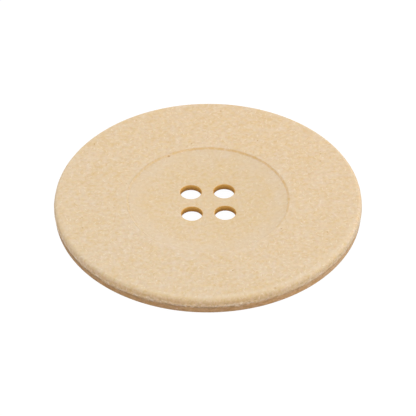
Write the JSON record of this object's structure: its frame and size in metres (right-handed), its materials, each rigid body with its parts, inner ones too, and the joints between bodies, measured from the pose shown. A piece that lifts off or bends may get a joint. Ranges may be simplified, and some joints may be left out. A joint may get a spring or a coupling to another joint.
{
  "type": "sew-through button",
  "caption": "Large flat round sew-through button in a pale speckled fibre composite, with a rounded rim, a shallow sunken centre and a square of sewing holes.",
  "frame": {"origin": "centre of the button, on the plane of the seat ring on its back", "axes": "+Z along the axis of the button, from its back to its face; +X and +Y along the sides of the square of sewing holes"},
  "size_m": [0.038, 0.038, 0.0021],
  "materials": {
    "fibre_composite": "matte"
  },
  "bodies": {
    "root": {"button": "fibre_composite"}
  },
  "joints": []
}
